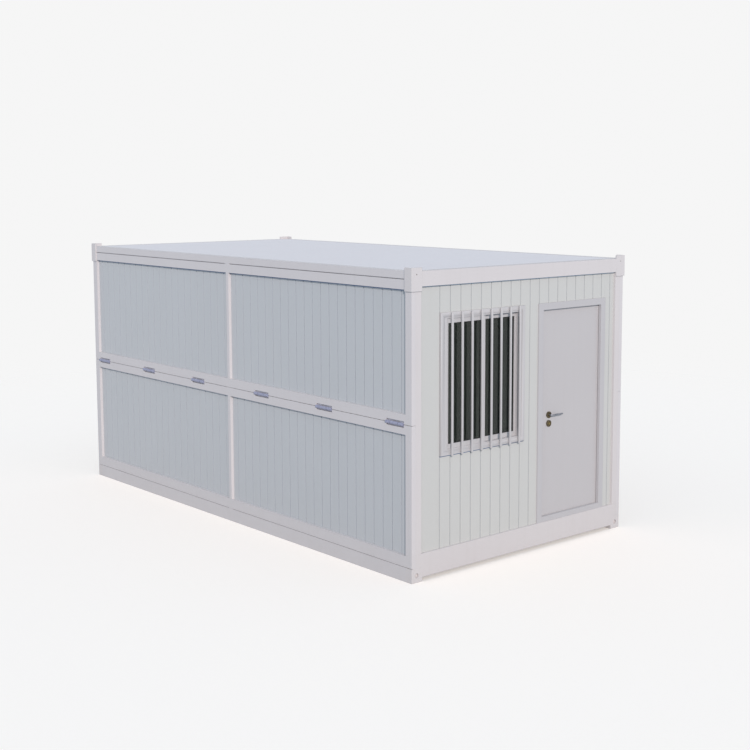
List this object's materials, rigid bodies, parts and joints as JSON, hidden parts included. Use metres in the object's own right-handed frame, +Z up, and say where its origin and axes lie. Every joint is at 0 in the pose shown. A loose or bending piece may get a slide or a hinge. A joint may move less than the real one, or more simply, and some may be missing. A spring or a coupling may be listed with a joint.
{
  "type": "folding container house",
  "caption": "Flat-roofed steel-framed room on corner castings, with grooved panels, folding sides hinged at half height, a sliding window and a door.",
  "frame": {"origin": "middle of the footprint, on the ground", "axes": "+Z up, +Y along the house from the end with the door to the rear end, +X to the right of someone who faces the door"},
  "size_m": [2.568, 5.12, 2.5],
  "materials": {
    "end_frame_paint": "satin",
    "side_frame_paint": "satin",
    "side_panel": "satin",
    "end_panel": "satin",
    "roof_sheet": "satin",
    "floor_board": "matt",
    "floor_steel": "satin",
    "fold_hinge_steel": "satin",
    "door_frame_paint": "satin",
    "door_leaf_paint": "satin",
    "door_hinge_steel": "satin",
    "rose_bronze": "dark satin",
    "cylinder_brass": "satin",
    "lever_steel": "satin",
    "window_aluminium": "satin",
    "window_glass": "clear, tinted"
  },
  "bodies": {
    "house": {"bottom_castings": "end_frame_paint", "floor_beam_left": "side_frame_paint", "floor_beam_right": "side_frame_paint", "floor_beam_front": "end_frame_paint", "floor_beam_rear": "end_frame_paint", "floor_joists": "floor_steel", "floor_board": "floor_board", "top_castings": "end_frame_paint", "roof_beam_left": "side_frame_paint", "roof_beam_right": "side_frame_paint", "roof_beam_front": "end_frame_paint", "roof_beam_rear": "end_frame_paint", "roof_panels": "roof_sheet", "left_frame_lower": "side_frame_paint", "left_frame_upper": "side_frame_paint", "right_frame_lower": "side_frame_paint", "right_frame_upper": "side_frame_paint", "left_panels_lower": "side_panel", "left_panels_upper": "side_panel", "right_panels_lower": "side_panel", "right_panels_upper": "side_panel", "left_hinges_lower": "fold_hinge_steel", "left_hinges_upper": "fold_hinge_steel", "left_hinge_pins": "fold_hinge_steel", "right_hinges_lower": "fold_hinge_steel", "right_hinges_upper": "fold_hinge_steel", "right_hinge_pins": "fold_hinge_steel", "front_posts": "end_frame_paint", "rear_posts": "end_frame_paint", "front_panel_window": "end_panel", "front_panel_over_door": "end_panel", "front_panel_right": "end_panel", "rear_panels": "end_panel", "door_frame": "door_frame_paint", "door_hinges_fixed": "door_hinge_steel", "window_frame": "window_aluminium", "window_sash_left": "window_aluminium", "window_sash_right": "window_aluminium", "window_glass_left": "window_glass", "window_glass_right": "window_glass"},
    "door": {"door_leaf": "door_leaf_paint", "door_hinges_moving": "door_hinge_steel", "door_roses": "rose_bronze", "lock_cylinder": "cylinder_brass"},
    "lever": {"door_lever": "lever_steel"}
  },
  "joints": [
    {"name": "door_swing", "type": "hinge", "parent": "house", "child": "door", "pos_m": [0.9995, -2.46, 1.1725], "axis": [0, 0, -1], "range_deg": [0, 90]},
    {"name": "lever_turn", "type": "hinge", "parent": "door", "child": "lever", "pos_m": [0.346, -2.489, 1.154], "axis": [0, 1, 0], "range_deg": [0, 40], "stiffness_Nm_per_rad": 1.5, "springref_deg": -28.65}
  ]
}
